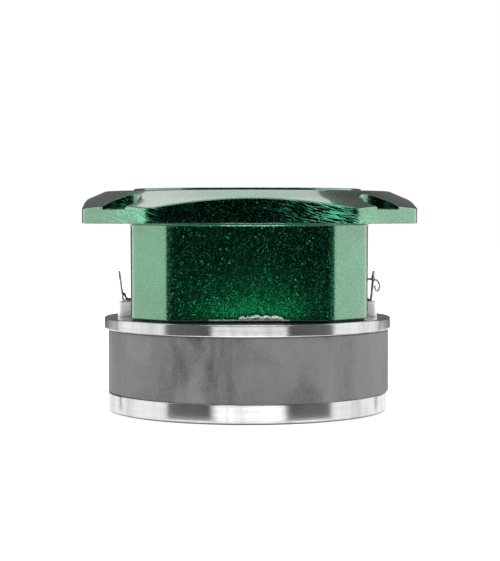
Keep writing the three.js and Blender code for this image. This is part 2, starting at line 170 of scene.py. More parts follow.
def smooth(obj, angle=32):
    """Smooth shading, with sharp edges kept where faces meet at more than the angle."""
    mesh = obj.data
    mesh.polygons.foreach_set("use_smooth", [True] * len(mesh.polygons))
    mesh.set_sharp_from_angle(angle=math.radians(angle))
    return obj


def rounded(corners, steps=4):
    """Turns (radius, height, rounding) corners of a closed profile into points.

    Each rounding is a short curve. A point just before and after it keeps the flats beside it evenly shaded.
    """
    points = []
    for index, (radius, height, *rounding) in enumerate(corners):
        here = Vector((radius, height))
        if not rounding:
            points.append((radius, height))
            continue
        before = Vector(corners[index - 1][:2]) - here
        after = Vector(corners[(index + 1) % len(corners)][:2]) - here
        start = here + before.normalized() * min(rounding[0], before.length * 0.45)
        end = here + after.normalized() * min(rounding[0], after.length * 0.45)
        points.append(tuple(here + (start - here) * 1.08))
        for step in range(steps + 1):
            t = step / steps
            points.append(tuple(start * (1 - t) ** 2 + here * 2 * t * (1 - t) + end * t**2))
        points.append(tuple(here + (end - here) * 1.08))
    return points


def swept(name, rings):
    """A closed mesh through rings of points. The last ring joins the first. A ring of one point is a pole."""
    build = bmesh.new()
    loops = [[build.verts.new(Vector(point) * MM) for point in ring] for ring in rings]
    for below, above in zip(loops, loops[1:] + loops[:1]):
        count = max(len(below), len(above))
        if count == 1:
            continue
        for here in range(count):
            there = (here + 1) % count
            corners = [
                below[here % len(below)],
                below[there % len(below)],
                above[there % len(above)],
                above[here % len(above)],
            ]
            build.faces.new(list(dict.fromkeys(corners)))
    bmesh.ops.recalc_face_normals(build, faces=build.faces)
    mesh = bpy.data.meshes.new(name)
    build.to_mesh(mesh)
    build.free()
    return link(name, mesh)


def circle(radius, height, sides, centre=(0, 0)):
    """A level ring of points, or a single one on the axis."""
    if radius < 1e-6:
        return [(centre[0], centre[1], height)]
    angles = [2 * math.pi * side / sides for side in range(sides)]
    return [(centre[0] + radius * math.cos(a), centre[1] + radius * math.sin(a), height) for a in angles]


def turned(name, corners, sides=FINE, centre=(0, 0)):
    """A profile of corners turned about an upright axis."""
    return swept(name, [circle(radius, height, sides, centre) for radius, height in rounded(corners)])


def swept_round(name, angles, section):
    """A closed mesh whose cross-section, section(angle), may differ in each direction from the axis."""
    columns = []
    for angle in angles:
        across, along = math.cos(angle), math.sin(angle)
        columns.append([(radius * across, radius * along, height) for radius, height in section(angle)])
    return swept(name, list(zip(*columns)))


def lofted(name, outline, levels):
    """An upright solid on an outline of (x, y) points.

    Each level is how far the outline is drawn in, and its height.
    """
    count = len(outline)
    points = [Vector(point) for point in outline]
    inward = []
    for index, point in enumerate(points):
        along = (points[(index + 1) % count] - points[index - 1]).normalized()
        inward.append(Vector((-along.y, along.x)))
    rings = []
    for inset, height in levels:
        rings.append([(*(point + normal * inset), height) for point, normal in zip(points, inward)])
    middle = sum(points, Vector((0, 0))) / count
    bottom_pole = [(*middle, levels[0][1])]
    top_pole = [(*middle, levels[-1][1])]
    return swept(name, [bottom_pole, *rings, top_pole])


def joined(name, parts):
    """Several objects as one mesh, their shells kept apart."""
    build = bmesh.new()
    for part in parts:
        build.from_mesh(part.data)
        bpy.data.objects.remove(part)
    mesh = bpy.data.meshes.new(name)
    build.to_mesh(mesh)
    build.free()
    return link(name, mesh)


def combined(obj, other, operation):
    """Adds or cuts away another object, which is used up."""
    modifier = obj.modifiers.new("combine", "BOOLEAN")
    modifier.operation = operation
    modifier.solver = "EXACT"
    modifier.object = other
    graph = bpy.context.evaluated_depsgraph_get()
    mesh = bpy.data.meshes.new_from_object(obj.evaluated_get(graph))
    obj.modifiers.clear()
    obj.data = mesh
    bpy.data.objects.remove(other)
    return obj


def tube(name, points, radius):
    """A thin round wire along a smooth curve through the points, closed at both ends."""
    data = bpy.data.curves.new(name, "CURVE")
    data.dimensions = "3D"
    data.bevel_depth = radius * MM
    data.bevel_resolution = 3
    data.resolution_u = 10
    data.use_fill_caps = True
    spline = data.splines.new("BEZIER")
    spline.bezier_points.add(len(points) - 1)
    for knot, point in zip(spline.bezier_points, points):
        knot.co = Vector(point) * MM
        knot.handle_left_type = "AUTO"
        knot.handle_right_type = "AUTO"
    curve = link(name + "_route", data)
    graph = bpy.context.evaluated_depsgraph_get()
    mesh = bpy.data.meshes.new_from_object(curve.evaluated_get(graph))
    bpy.data.objects.remove(curve)
    return link(name, mesh)


def drill(radius, bottom, top, centre=(0, 0)):
    """A plain upright rod that cuts a hole."""
    return turned("hole", [(0, bottom), (radius, bottom), (radius, top), (0, top)], SMALL, centre)


def hexagon(across_flats, bottom, top, centre=(0, 0)):
    """A six-sided rod that cuts a key's socket."""
    corner = across_flats / math.sqrt(3)
    return turned("socket", [(0, bottom), (corner, bottom), (corner, top), (0, top)], 6, centre)


def box_mm(node):
    """The low and high corners of a CAD node's box, in millimetres."""
    return [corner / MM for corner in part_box(node)]


def displaced(obj, move):
    """Moves each vertex by what move(place in millimetres) returns, in millimetres."""
    for vertex in obj.data.vertices:
        vertex.co += move(vertex.co / MM) * MM
    return obj


def finish(obj, node, material, body=DRIVER):
    """Gives a piece its material and its body, if it rides on just one, and hides its CAD node."""
    obj.data.materials.clear()
    obj.data.materials.append(material)
    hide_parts(node)
    if body:
        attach(obj, body)
    return obj


def turned_piece(node, ending, corners, material, sides=FINE, body=DRIVER, centre=(0, 0)):
    """A turned piece named after its CAD node."""
    return finish(smooth(turned(f"{node}_{ending}", corners, sides, centre)), node, material, body)


# ---- Material helpers ----


class Shader:
    """A material's node tree, with short calls that add nodes and join them."""

    def __init__(self, name):
        self.material = bpy.data.materials.new(name)
        self.material.use_nodes = True
        self.tree = self.material.node_tree
        self.surface = self.tree.nodes["Principled BSDF"]
        self.place = self.node("TexCoord").outputs["Object"]

    def node(self, kind, settings=None, inputs=None):
        made = self.tree.nodes.new("ShaderNode" + kind)
        for name, value in (settings or {}).items():
            setattr(made, name, value)
        for name, value in (inputs or {}).items():
            self.feed(made.inputs[name], value)
        return made

    def feed(self, socket, value):
        if isinstance(value, bpy.types.NodeSocket):
            self.tree.links.new(value, socket)
        elif isinstance(value, tuple) and len(value) == 3 and socket.type == "RGBA":
            socket.default_value = (*value, 1)
        else:
            socket.default_value = value

    def set(self, **sockets):
        for name, value in sockets.items():
            self.feed(self.surface.inputs[name.replace("_", " ")], value)

    def math(self, operation, first, second=0.0):
        return self.node("Math", {"operation": operation}, {0: first, 1: second}).outputs[0]

    def times(self, first, second):
        return self.math("MULTIPLY", first, second)

    def vector(self, operation, first, second):
        return self.node("VectorMath", {"operation": operation}, {0: first, 1: second}).outputs[0]

    def scaled(self, vector, factor):
        return self.node("VectorMath", {"operation": "SCALE"}, {0: vector, "Scale": factor}).outputs[0]

    def length(self, vector):
        return self.node("VectorMath", {"operation": "LENGTH"}, {0: vector}).outputs["Value"]

    def axes(self, vector=None):
        return self.node("SeparateXYZ", None, {0: vector or self.place}).outputs

    def stretched(self, factors):
        """The place, scaled by a factor for each axis."""
        return self.vector("MULTIPLY", self.place, factors)

    def noise(self, scale, detail=3.0, rough=0.5, vector=None, distortion=0.0):
        inputs = {
            "Vector": vector or self.place,
            "Scale": scale,
            "Detail": detail,
            "Roughness": rough,
            "Distortion": distortion,
        }
        return self.node("TexNoise", None, inputs).outputs["Fac"]

    def cells(self, scale):
        return self.node("TexVoronoi", None, {"Vector": self.place, "Scale": scale})

    def between(self, value, low, high, low_result=0.0, high_result=1.0):
        """Maps a value from low..high to the two results, smoothly, and no further."""
        inputs = {
            "Value": value,
            "From Min": low,
            "From Max": high,
            "To Min": low_result,
            "To Max": high_result,
        }
        return self.node("MapRange", {"interpolation_type": "SMOOTHSTEP"}, inputs).outputs[0]

    def mixed(self, factor, first, second):
        made = self.node("Mix", {"data_type": "RGBA"}, {"Factor": factor})
        self.feed(made.inputs[6], first)
        self.feed(made.inputs[7], second)
        return made.outputs[2]

    def bump(self, height, distance, strength=1.0, normal=None):
        """A bump whose heights are up to a distance in millimetres."""
        inputs = {"Height": height, "Distance": distance * MM, "Strength": strength}
        if normal:
            inputs["Normal"] = normal
        return self.node("Bump", None, inputs).outputs[0]


# ---- Materials ----

LACQUER_DARK = (0.0005, 0.008, 0.003)
LACQUER_GREEN = (0.002, 0.092, 0.031)
LACQUER_BRIGHT = (0.02, 0.18, 0.095)
LACQUER_SCRATCHED = (0.02, 0.5, 0.25)
STAINED_METAL = (0.2, 0.34, 0.28)
# Also the colour of the painted highlight on the body's lower front edge.
BARE_METAL_AND_HIGHLIGHT = (0.74, 0.78, 0.75)


def green_lacquer(painted_light):
    """Dark green clear-coated lacquer with metal flakes. The casting's kind also has its scratches and burr,
    painted shade on the flange's front and back faces and a painted highlight along the body's lower front
    edge.
    """
    shader = Shader("green_lacquer_worn" if painted_light else "green_lacquer")
    edge = shader.node("Bevel", {"samples": 4}, {"Radius": 0.3 * MM}).outputs[0]
    flakes = shader.cells(6000).outputs["Color"]
    shares = shader.axes(flakes)
    look = {
        "Base_Color": flake_colour(shader, shares),
        "Metallic": 1.0,
        "Roughness": shader.between(shares[2], 0.0, 1.0, 0.22, 0.3),
        "Normal": flake_normal(shader, flakes, shares[1], edge),
        "Coat_Normal": shader.bump(shader.noise(700, 2), 0.02, 0.25, edge),
        "Coat_Weight": 1.0,
    }
    if painted_light:
        paint_shade_on_flange(shader, look, edge)
        scratch_flange(shader, look, edge)
        bare_edge_and_highlight(shader, look)
    shader.set(**look)
    shader.set(Coat_Roughness=0.06)
    return shader.material


def flake_colour(shader, shares):
    """Each flake's green, in soft clouds, with a few bright ones."""
    cloud = shader.between(shader.noise(70, 2), 0.3, 0.75, 0.75, 1.1)
    bright = shader.times(shader.between(shares[0], 0.0, 1.0, 0.6, 1.0), cloud)
    colour = shader.mixed(bright, LACQUER_DARK, LACQUER_GREEN)
    return shader.mixed(shader.between(shares[1], 0.8, 0.95), colour, LACQUER_BRIGHT)


def flake_normal(shader, flakes, share, edge):
    """Leans each flake its own way, a few of them much more. On faces that look up they lie nearly flat."""
    upward = shader.axes(edge)[2]
    lean = shader.math("ADD", 0.16, shader.times(shader.math("POWER", share, 5.0), 1.2))
    lean = shader.times(lean, shader.between(upward, 0.3, 0.8, 1.0, 0.12))
    tilt = shader.vector("SUBTRACT", flakes, (0.5, 0.5, 0.5))
    return shader.vector("NORMALIZE", shader.vector("ADD", edge, shader.scaled(tilt, lean)), (0, 0, 0))


def paint_shade_on_flange(shader, look, edge):
    """Paints shade on the flange's straight front and back faces: darkens their colour towards the lacquer's
    darkest green.
    """
    straight = shader.between(shader.math("ABSOLUTE", shader.axes(edge)[1]), 0.85, 0.97)
    painted_shade = shader.times(shader.times(on_flange(shader), straight), 0.75)
    look["Base_Color"] = shader.mixed(painted_shade, look["Base_Color"], LACQUER_DARK)


def scratch_flange(shader, look, edge):
    """Cuts bright strokes into the lacquer, but not where it faces up."""
    upward = shader.axes(edge)[2]
    scratch = shader.times(scratches(shader), shader.between(upward, 0.3, 0.6, 1.0, 0.0))
    look["Base_Color"] = shader.mixed(scratch, look["Base_Color"], LACQUER_SCRATCHED)
    look["Metallic"] = shader.math("SUBTRACT", 1.0, shader.times(scratch, 0.9))
    look["Coat_Normal"] = shader.bump(scratch, 0.06, 0.8, look["Coat_Normal"])
    look["Normal"] = shader.bump(scratch, 0.06, 0.5, look["Normal"])


def bare_edge_and_highlight(shader, look):
    """Shows stained metal without a clear coat where the mesh's per-point value is up: on the burr, where the
    lacquer is gone, and as a painted highlight along the body's lower front edge.
    """
    bare = shader.node("Attribute", {"attribute_name": "bare"}).outputs["Fac"]
    bare = shader.between(shader.math("SUBTRACT", bare, shader.noise(2200, 3)), -0.3, 0.1)
    covered = shader.math("SUBTRACT", 1.0, bare)
    grain = shader.between(shader.noise(1500, 3), 0.35, 0.65, 0.55, 1.0)
    metal = shader.mixed(grain, STAINED_METAL, BARE_METAL_AND_HIGHLIGHT)
    look["Base_Color"] = shader.mixed(bare, look["Base_Color"], metal)
    look["Metallic"] = shader.times(look["Metallic"], covered)
    look["Roughness"] = shader.math("ADD", look["Roughness"], shader.times(bare, 0.3))
    look["Coat_Weight"] = covered


def on_flange(shader):
    """1 from the flange's underside up, and 0 below it."""
    height = shader.axes()[2]
    return shader.between(height, (FLANGE_UNDERSIDE - 0.2) * MM, (FLANGE_UNDERSIDE + 0.2) * MM)


def band(shader, value, rise_from, rise_to, fall_from, fall_to):
    """1 where a value in metres is inside a band given in millimetres, with soft ends."""
    rise = shader.between(value, rise_from * MM, rise_to * MM)
    fall = shader.between(value, fall_to * MM, fall_from * MM)
    return shader.times(rise, fall)


def scratches(shader):
    """Fine strokes that slant down to the right on the flange's sides, mostly near its cut corners."""
    x, y, z = shader.axes()
    along = shader.times(shader.math("ARCTAN2", y, x), FLANGE_HALF_WIDTH * MM)
    unrolled = shader.node("CombineXYZ", None, {0: along, 1: z}).outputs[0]
    strokes = []
    for slant, closeness in ((0.2, 130), (0.45, 260)):
        slanted = shader.node("Mapping", None, {"Vector": unrolled, "Rotation": (0, 0, slant)}).outputs[0]
        field = shader.noise(1.0, 2.0, 0.55, shader.vector("MULTIPLY", slanted, (closeness, 3400, 1)))
        strokes.append(shader.between(field, 0.57, 0.64))
    right = band(shader, x, 0, 20, 31, 37)
    left = band(shader, x, -43, -36, -29, -24)
    patches = shader.between(shader.noise(90, 2), 0.38, 0.55, 0.15, 1.0)
    handled = shader.times(shader.math("MAXIMUM", right, left), patches)
    across = shader.length(shader.stretched((1, 1, 0)))
    outside = shader.between(across, (FLANGE_HALF_WIDTH - 2) * MM, (FLANGE_HALF_WIDTH - 0.5) * MM)
    where = shader.times(handled, shader.times(on_flange(shader), outside))
    return shader.times(shader.math("MAXIMUM", *strokes), where)


def turned_steel():
    """Bright steel with fine turning marks round its axis, a few stains and painted shade at its foot, where
    it meets the floor.
    """
    shader = Shader("turned_steel")
    height = shader.axes()[2]
    grooves = shader.noise(1.0, 2.0, 0.6, shader.stretched((60, 60, 9000)))
    stains = shader.noise(120, 4, 0.6, shader.stretched((1, 1, 0.25)))
    tone = shader.mixed(shader.between(stains, 0.35, 0.7), (0.76, 0.765, 0.77), (0.56, 0.565, 0.575))
    colour = shader.mixed(shader.between(grooves, 0.3, 0.7, 0.0, 0.35), tone, (0.45, 0.45, 0.46))
    # Painted shade: the lowest 0.6 mm, where the back plate stands on the floor, is painted near black.
    colour = shader.mixed(shader.between(height, 0.2 * MM, 0.6 * MM), (0.1, 0.1, 0.1), colour)
    stained_rough = shader.between(stains, 0.3, 0.75, 0.13, 0.2)
    rough = shader.math("ADD", stained_rough, shader.between(grooves, 0.3, 0.7, 0.0, 0.06))
    tangent = shader.node("Tangent", {"direction_type": "RADIAL", "axis": "Z"}).outputs[0]
    edge = shader.node("Bevel", {"samples": 4}, {"Radius": 0.15 * MM}).outputs[0]
    shader.set(Base_Color=colour, Metallic=1.0, Roughness=rough, Normal=shader.bump(grooves, 0.01, 0.2, edge))
    shader.set(Anisotropic=0.7, Anisotropic_Rotation=0.25, Tangent=tangent)
    return shader.material


def ferrite():
    """Sintered magnet: mottled grey with soft upright smudges, dust and small pits."""
    shader = Shader("ferrite")
    smudge = shader.noise(65, 5, 0.65, shader.stretched((1, 1, 0.45)), 0.8)
    cloud = shader.noise(24, 2, 0.5)
    grain = shader.noise(1400, 4, 0.7)
    tone = shader.mixed(shader.between(smudge, 0.3, 0.72), (0.018, 0.018, 0.019), (0.125, 0.125, 0.124))
    tone = shader.mixed(shader.between(cloud, 0.35, 0.7, 0.0, 0.5), tone, (0.062, 0.062, 0.061))
    tone = shader.mixed(shader.between(grain, 0.35, 0.7, 0.0, 0.35), tone, (0.12, 0.12, 0.118))
    pits = shader.between(shader.cells(900).outputs["Distance"], 0.04, 0.14, 0.4, 1.0)
    tone = shader.mixed(pits, (0.03, 0.03, 0.031), tone)
    height = shader.math("ADD", shader.times(pits, 0.6), shader.times(grain, 0.4))
    shader.set(Base_Color=tone, Roughness=shader.between(smudge, 0.3, 0.7, 0.5, 0.7))
    shader.set(Normal=shader.bump(height, 0.05, 0.5), Specular_IOR_Level=0.4)
    return shader.material


def nylon():
    """Moulded white nylon, slightly cloudy, with a satin skin."""
    shader = Shader("nylon")
    cloud = shader.noise(300, 3)
    tone = shader.mixed(shader.between(cloud, 0.3, 0.7), (0.86, 0.855, 0.84), (0.76, 0.75, 0.73))
    specks = shader.between(shader.noise(2600, 2), 0.68, 0.74, 0.0, 0.4)
    tone = shader.mixed(specks, tone, (0.4, 0.38, 0.34))
    shader.set(Base_Color=tone, Roughness=shader.between(cloud, 0.3, 0.7, 0.35, 0.5), Subsurface_Weight=0.15)
    shader.set(Subsurface_Scale=0.8 * MM, Normal=shader.bump(shader.noise(900, 3), 0.03, 0.4))
    return shader.material


def rubber():
    """Black gasket sheet with a dusty grain."""
    shader = Shader("rubber")
    grain = shader.noise(1800, 4, 0.6)
    dust = shader.between(shader.noise(200, 3), 0.5, 0.75, 0.0, 0.5)
    tone = shader.mixed(dust, (0.008, 0.008, 0.009), (0.05, 0.05, 0.048))
    shader.set(Base_Color=tone, Roughness=shader.between(grain, 0.3, 0.7, 0.6, 0.85))
    shader.set(Normal=shader.bump(grain, 0.04, 0.6))
    return shader.material


def worn_metal(name, light, dark, rough, scale=350):
    """A bare or plated metal with tarnish in patches and fine handling marks."""
    shader = Shader(name)
    patches = shader.between(shader.noise(scale, 4, 0.6), 0.35, 0.68)
    marks = shader.noise(1.0, 3, 0.6, shader.stretched((900, 2600, 1300)))
    tone = shader.mixed(patches, light, dark)
    tone = shader.mixed(shader.between(marks, 0.55, 0.75, 0.0, 0.5), tone, dark)
    base = shader.between(patches, 0.0, 1.0, rough, rough + 0.18)
    shader.set(Base_Color=tone, Metallic=1.0, Roughness=base, Normal=shader.bump(marks, 0.015, 0.4))
    return shader.material


def amber_film():
    """Thin baked polyimide: a clear amber skin with faint radial stretch marks."""
    shader = Shader("amber_film")
    x, y = shader.axes()[:2]
    round_angle = shader.math("ARCTAN2", y, x)
    spokes = shader.node("CombineXYZ", None, {0: shader.times(round_angle, 40)})
    rays = shader.noise(1.0, 2, 0.5, spokes.outputs[0])
    tone = shader.mixed(shader.between(rays, 0.3, 0.7), (0.5, 0.2, 0.03), (0.33, 0.12, 0.015))
    shader.set(Base_Color=tone, Roughness=shader.between(rays, 0.3, 0.7, 0.16, 0.28), Coat_Weight=0.5)
    shader.set(Transmission_Weight=0.25, Normal=shader.bump(rays, 0.03, 0.3))
    return shader.material


def wire_sleeve():
    """A grey varnished lead, lighter where the varnish is thin."""
    shader = Shader("wire_sleeve")
    thin = shader.between(shader.noise(1100, 3), 0.4, 0.62)
    tone = shader.mixed(thin, (0.5, 0.51, 0.5), (0.26, 0.26, 0.26))
    shader.set(Base_Color=tone, Roughness=0.35, Metallic=0.2)
    shader.set(Normal=shader.bump(shader.noise(2500, 2), 0.02, 0.5))
    return shader.material


def solder():
    """Dull, slightly burnt solder with flux stains."""
    shader = Shader("solder")
    stain = shader.noise(1400, 3, 0.6)
    tone = shader.mixed(shader.between(stain, 0.4, 0.6), (0.24, 0.24, 0.23), (0.05, 0.045, 0.04))
    shader.set(Base_Color=tone, Metallic=0.8, Roughness=shader.between(stain, 0.3, 0.7, 0.3, 0.55))
    shader.set(Normal=shader.bump(stain, 0.08, 0.6))
    return shader.material


# ---- Casting ----


def outline_radius(angle, half_width, half_flat, rounding):
    """How far the outline of a square with cut, rounded corners is from the axis, in one direction."""
    quarter = math.pi / 2
    folded = angle % quarter
    folded = min(folded, quarter - folded)
    direction = Vector((math.cos(folded), math.sin(folded)))
    half_turn = math.pi / 8
    inset = rounding / math.cos(half_turn)
    centre = Vector((half_width, half_flat)) - inset * Vector((math.cos(half_turn), math.sin(half_turn)))
    along = direction.dot(centre)
    inside = along**2 - centre.length_squared + rounding**2
    if inside > 0:
        reach = along + math.sqrt(inside)
        spoke = direction * reach - centre
        if 0 <= math.atan2(spoke.y, spoke.x) <= quarter / 2:
            return reach
    return min(half_width / direction.x, (half_width + half_flat) / (direction.x + direction.y))


def cone_height(radius):
    """The height of the flange's sloping top at a distance from the axis."""
    outer, inner = (CONE_FOOT, CONE_KNEE) if radius > CONE_KNEE[0] else (CONE_KNEE, FACE_EDGE)
    share = (outer[0] - radius) / (outer[0] - inner[0])
    return outer[1] + share * (inner[1] - outer[1])


def bullet_radius(height):
    done = (height - THROAT_Z) / (BULLET_TIP - THROAT_Z)
    return BULLET_RADIUS * math.sqrt(max(0, 1 - done))


def horn_radius(height):
    """The flare's radius: the passage round the bullet grows exponentially up to the mouth."""
    throat_area = THROAT_RADIUS**2 - BULLET_RADIUS**2
    growth = math.log(MOUTH_RADIUS**2 / throat_area) / (MOUTH_Z - THROAT_Z)
    return math.sqrt(bullet_radius(height) ** 2 + throat_area * math.exp(growth * (height - THROAT_Z)))


def steps_between(first, last, count):
    return [first + (last - first) * step / count for step in range(count + 1)]


def casting_section(angle):
    """The casting's cross-section in one direction from the axis."""
    body = outline_radius(angle, BODY_HALF_WIDTH, BODY_HALF_FLAT, BODY_ROUNDING)
    flange = outline_radius(angle, FLANGE_HALF_WIDTH, FLANGE_HALF_FLAT, FLANGE_ROUNDING)
    side_rings = [(body, BODY_BOTTOM + rise) for rise in (0.6, 0.9, 1.2, 1.5, 1.8, 2.2, 3.0)]
    cone = [(radius, cone_height(radius)) for radius in steps_between(flange, FACE_EDGE[0], 6)[1:-1]]
    flare = [(horn_radius(height), height) for height in steps_between(MOUTH_Z, THROAT_Z, 28)]
    seat = FILM_Z + FILM + 0.1
    recess_top = CARRIER_TOP + 0.2
    return [
        (RECESS_RADIUS, BODY_BOTTOM),
        (body, BODY_BOTTOM, 0.3),
        *side_rings,
        (body, FLANGE_UNDERSIDE, 1.1),
        (flange, FLANGE_UNDERSIDE, 0.35),
        (flange, cone_height(flange), 0.55),
        *cone,
        (*FACE_EDGE, 0.8),
        (LIP_OUTER, FACE_EDGE[1], 0.15),
        (LIP_OUTER, LIP_TOP, 0.25),
        (LIP_INNER, LIP_TOP, 0.25),
        *flare,
        (THROAT_RADIUS, SLOT_UNDERSIDE),
        (CARRIER_INNER, SLOT_UNDERSIDE),
        (CARRIER_INNER, seat),
        (CARRIER_LEDGE - 0.2, seat),
        (CARRIER_LEDGE - 0.2, recess_top),
        (RECESS_RADIUS, recess_top),
    ]


# The burr on the body's lower front edge, and the stretch of that edge that carries a painted highlight, in
# x.
PAINTED_HIGHLIGHT_FROM = -12.0
PAINTED_HIGHLIGHT_TO = 11.0
BURR_FROM = -3.6
BURR_TO = 9.2
BURR_DEPTH = 1.2
BURR_REACH_UP = 3.0
BURR_STEP = 0.3
RAGGED_WAVES = ((0.5, 0.7), (1.6, 0.6), (4.0, 0.5))


def burr_line(x):
    """How far above the body's lower edge the burr's crest runs, or nothing beyond its ends."""
    share = (x - BURR_FROM) / (BURR_TO - BURR_FROM)
    if not 0 < share < 1:
        return None
    ragged = sum(noise.noise(Vector((x * scale, 3.1, 0))) * size for scale, size in RAGGED_WAVES)
    return max(0.25, (1.1 + ragged) * math.sin(math.pi * share) ** 0.35)


def off_burr(place):
    """Whether a place is behind the body's front face or too far above its lower edge."""
    return place.y > -BODY_HALF_WIDTH + BURR_DEPTH or place.z > BODY_BOTTOM + BURR_REACH_UP


def burr_and_highlight_mask(place):
    """1 on the burr's bare crest and 0.6 along a painted highlight on the lower front edge, falling to 0 a
    little way off them.
    """
    if off_burr(place):
        return 0.0
    above = place.z - BODY_BOTTOM
    # Painted highlight: a strip of the lower front edge is made bright bare metal, as if it caught light from
    # below.
    painted_light = 0.6 if PAINTED_HIGHLIGHT_FROM < place.x < PAINTED_HIGHLIGHT_TO and above < 0.35 else 0.0
    line = burr_line(place.x)
    if line is None:
        return painted_light
    reach = 0.7 + 0.5 * noise.noise(place * 1.1)
    return max(painted_light, 1 - abs(above - line) / reach)


def burr_move(place):
    """The crest stands out from the body and the lacquer below it is chipped away."""
    line = burr_line(place.x)
    if line is None or off_burr(place):
        return Vector((0, 0, 0))
    below = place.z < BODY_BOTTOM + line - BURR_STEP
    return Vector((0, BURR_STEP if below else -BURR_STEP * burr_and_highlight_mask(place), 0))


def casting_cutters():
    """The pockets, holes, screw wells and the windows that the terminal posts pass through."""
    above = 70
    parts = []
    for x, y in CORNERS.values():
        pocket = [
            (0, FLANGE_UNDERSIDE - 2),
            (MOUNTING_HOLE + 0.4, FLANGE_UNDERSIDE - 2),
            (MOUNTING_HOLE + 0.4, FLANGE_UNDERSIDE),
            (MOUNTING_HOLE, FLANGE_UNDERSIDE + 0.4),
            (MOUNTING_HOLE, POCKET_FLOOR),
            (POCKET_RADIUS, POCKET_FLOOR, 0.35),
            (POCKET_RADIUS, above),
            (0, above),
        ]
        parts.append(turned("pocket", pocket, 96, (x * POCKET_PLACE, y * POCKET_PLACE)))
        well = [
            (0, BODY_BOTTOM - 1),
            (SCREW_HOLE, BODY_BOTTOM - 1),
            (SCREW_HOLE, SCREW_SEAT),
            (WELL_RADIUS, SCREW_SEAT, 0.2),
            (WELL_RADIUS, above),
            (0, above),
        ]
        parts.append(turned("well", well, SMALL, (x * SCREW_PLACE, y * SCREW_PLACE)))
    for side in (-1, 1):
        parts.append(window_cutter(side))
    return joined("casting_cutters", parts)


def window_cutter(side):
    """An arch through the body's side, for a terminal post."""
    foot = BODY_BOTTOM - 1
    rounding = 0.8
    inner = 29.5
    outer = BODY_HALF_WIDTH + 1
    arch = [(-WINDOW_HALF_WIDTH, foot), (WINDOW_HALF_WIDTH, foot)]
    arch += [(WINDOW_HALF_WIDTH, WINDOW_TOP, rounding), (-WINDOW_HALF_WIDTH, WINDOW_TOP, rounding)]
    section = rounded(arch, 3)
    centre = [(0.0, (foot + WINDOW_TOP) / 2)]
    rings = []
    for x, outline in ((inner, centre), (inner, section), (outer, section), (outer, centre)):
        rings.append([(side * x, y, z) for y, z in outline])
    return swept("window", rings)


def make_casting(material):
    step = math.radians(0.5)
    angles = [step * index for index in range(720)]
    casting = swept_round("horn_casting_lacquered", angles, lambda angle: rounded(casting_section(angle)))
    displaced(casting, burr_move)
    combined(casting, casting_cutters(), "DIFFERENCE")
    # The per-point value marks the bare burr and the painted highlight along the lower front edge.
    bare = casting.data.attributes.new("bare", "FLOAT", "POINT")
    bare.data.foreach_set("value", [burr_and_highlight_mask(vertex.co / MM) for vertex in casting.data.vertices])
    smooth(casting)
    return finish(casting, "horn_casting", material)


def make_gasket(material):
    """The gasket sheet under the body, its edge slightly bulged by the clamping."""
    inset = 1.0
    thickness = 0.6
    low = BODY_BOTTOM - thickness

    def section(angle):
        edge = outline_radius(angle, BODY_HALF_WIDTH - inset, BODY_HALF_FLAT - inset / 2, BODY_ROUNDING)
        wave = 0.04 * noise.noise(Vector((math.cos(angle) * 6, math.sin(angle) * 6, 0)))
        return (
            (RECESS_RADIUS + 0.3, low),
            (edge - 0.12, low),
            (edge + wave - 0.04, (low + BODY_BOTTOM) / 2),
            (edge - 0.12, BODY_BOTTOM),
            (RECESS_RADIUS + 0.3, BODY_BOTTOM),
        )

    angles = [math.radians(degrees) for degrees in range(360)]
    gasket = swept_round("body_gasket_sheet", angles, section)
    holes = []
    for x, y in CORNERS.values():
        holes.append(drill(SCREW_HOLE, 27, 30, (x * SCREW_PLACE, y * SCREW_PLACE)))
    combined(gasket, joined("gasket_holes", holes), "DIFFERENCE")
    return finish(smooth(gasket), "body_gasket", material)


# ---- Magnet system ----


def make_back_plate(material):
    low, high = box_mm("back_plate")
    sink = 5.3
    corners = [
        (sink, low.z, 0.1),
        (high.x, low.z, 0.9),
        (high.x, high.z, 0.3),
        (BOLT_BORE, high.z),
        (BOLT_BORE, sink - BOLT_BORE),
    ]
    return turned_piece("back_plate", "turned", corners, material)


def make_magnet(material):
    """The ferrite ring, with its ground faces and slightly crumbled edges."""
    low, high = box_mm("magnet_ring")
    inner = 22.5
    outer = (high.x - low.x) / 2
    offset = (high.x + low.x) / 2
    chamfer = 0.35
    corners = [
        (inner, low.z, 0.3),
        (outer - chamfer, low.z),
        *[(outer, height) for height in steps_between(low.z + chamfer, high.z - chamfer, 12)],
        (outer - chamfer, high.z),
        (inner, high.z, 0.3),
    ]
    magnet = turned("magnet_ring_ferrite", corners, 360, (offset, 0))

    def crumble(place):
        to_edge = min(place.z - low.z, high.z - place.z)
        inward = Vector((offset - place.x, -place.y, 0))
        if to_edge > 1.2 or inward.length < outer - 1:
            return Vector((0, 0, 0))
        dent = max(0.0, noise.noise(place * 0.35) - 0.18) * 0.4
        chip = max(0.0, noise.noise(place * 1.3) - 0.3) * 0.35
        return inward.normalized() * (dent + chip)

    displaced(magnet, crumble)
    return finish(smooth(magnet), "magnet_ring", material)


def make_top_plate(material):
    low, high = box_mm("top_plate")
    bore = 20.2
    corners = [(bore, low.z, 0.15), (high.x, low.z, 0.45), (high.x, high.z, 0.4), (bore, high.z, 0.15)]
    plate = turned("top_plate_turned", corners)
    places = [(x * SCREW_PLACE, y * SCREW_PLACE, SCREW_HOLE) for x in (-1, 1) for y in (-1, 1)]
    places += [(0, side * PIN_CIRCLE, PIN_HOLE) for side in (-1, 1)]
    holes = [drill(radius, low.z - 1, high.z + 1, (x, y)) for x, y, radius in places]
    combined(plate, joined("plate_holes", holes), "DIFFERENCE")
    return finish(smooth(plate), "top_plate", material)


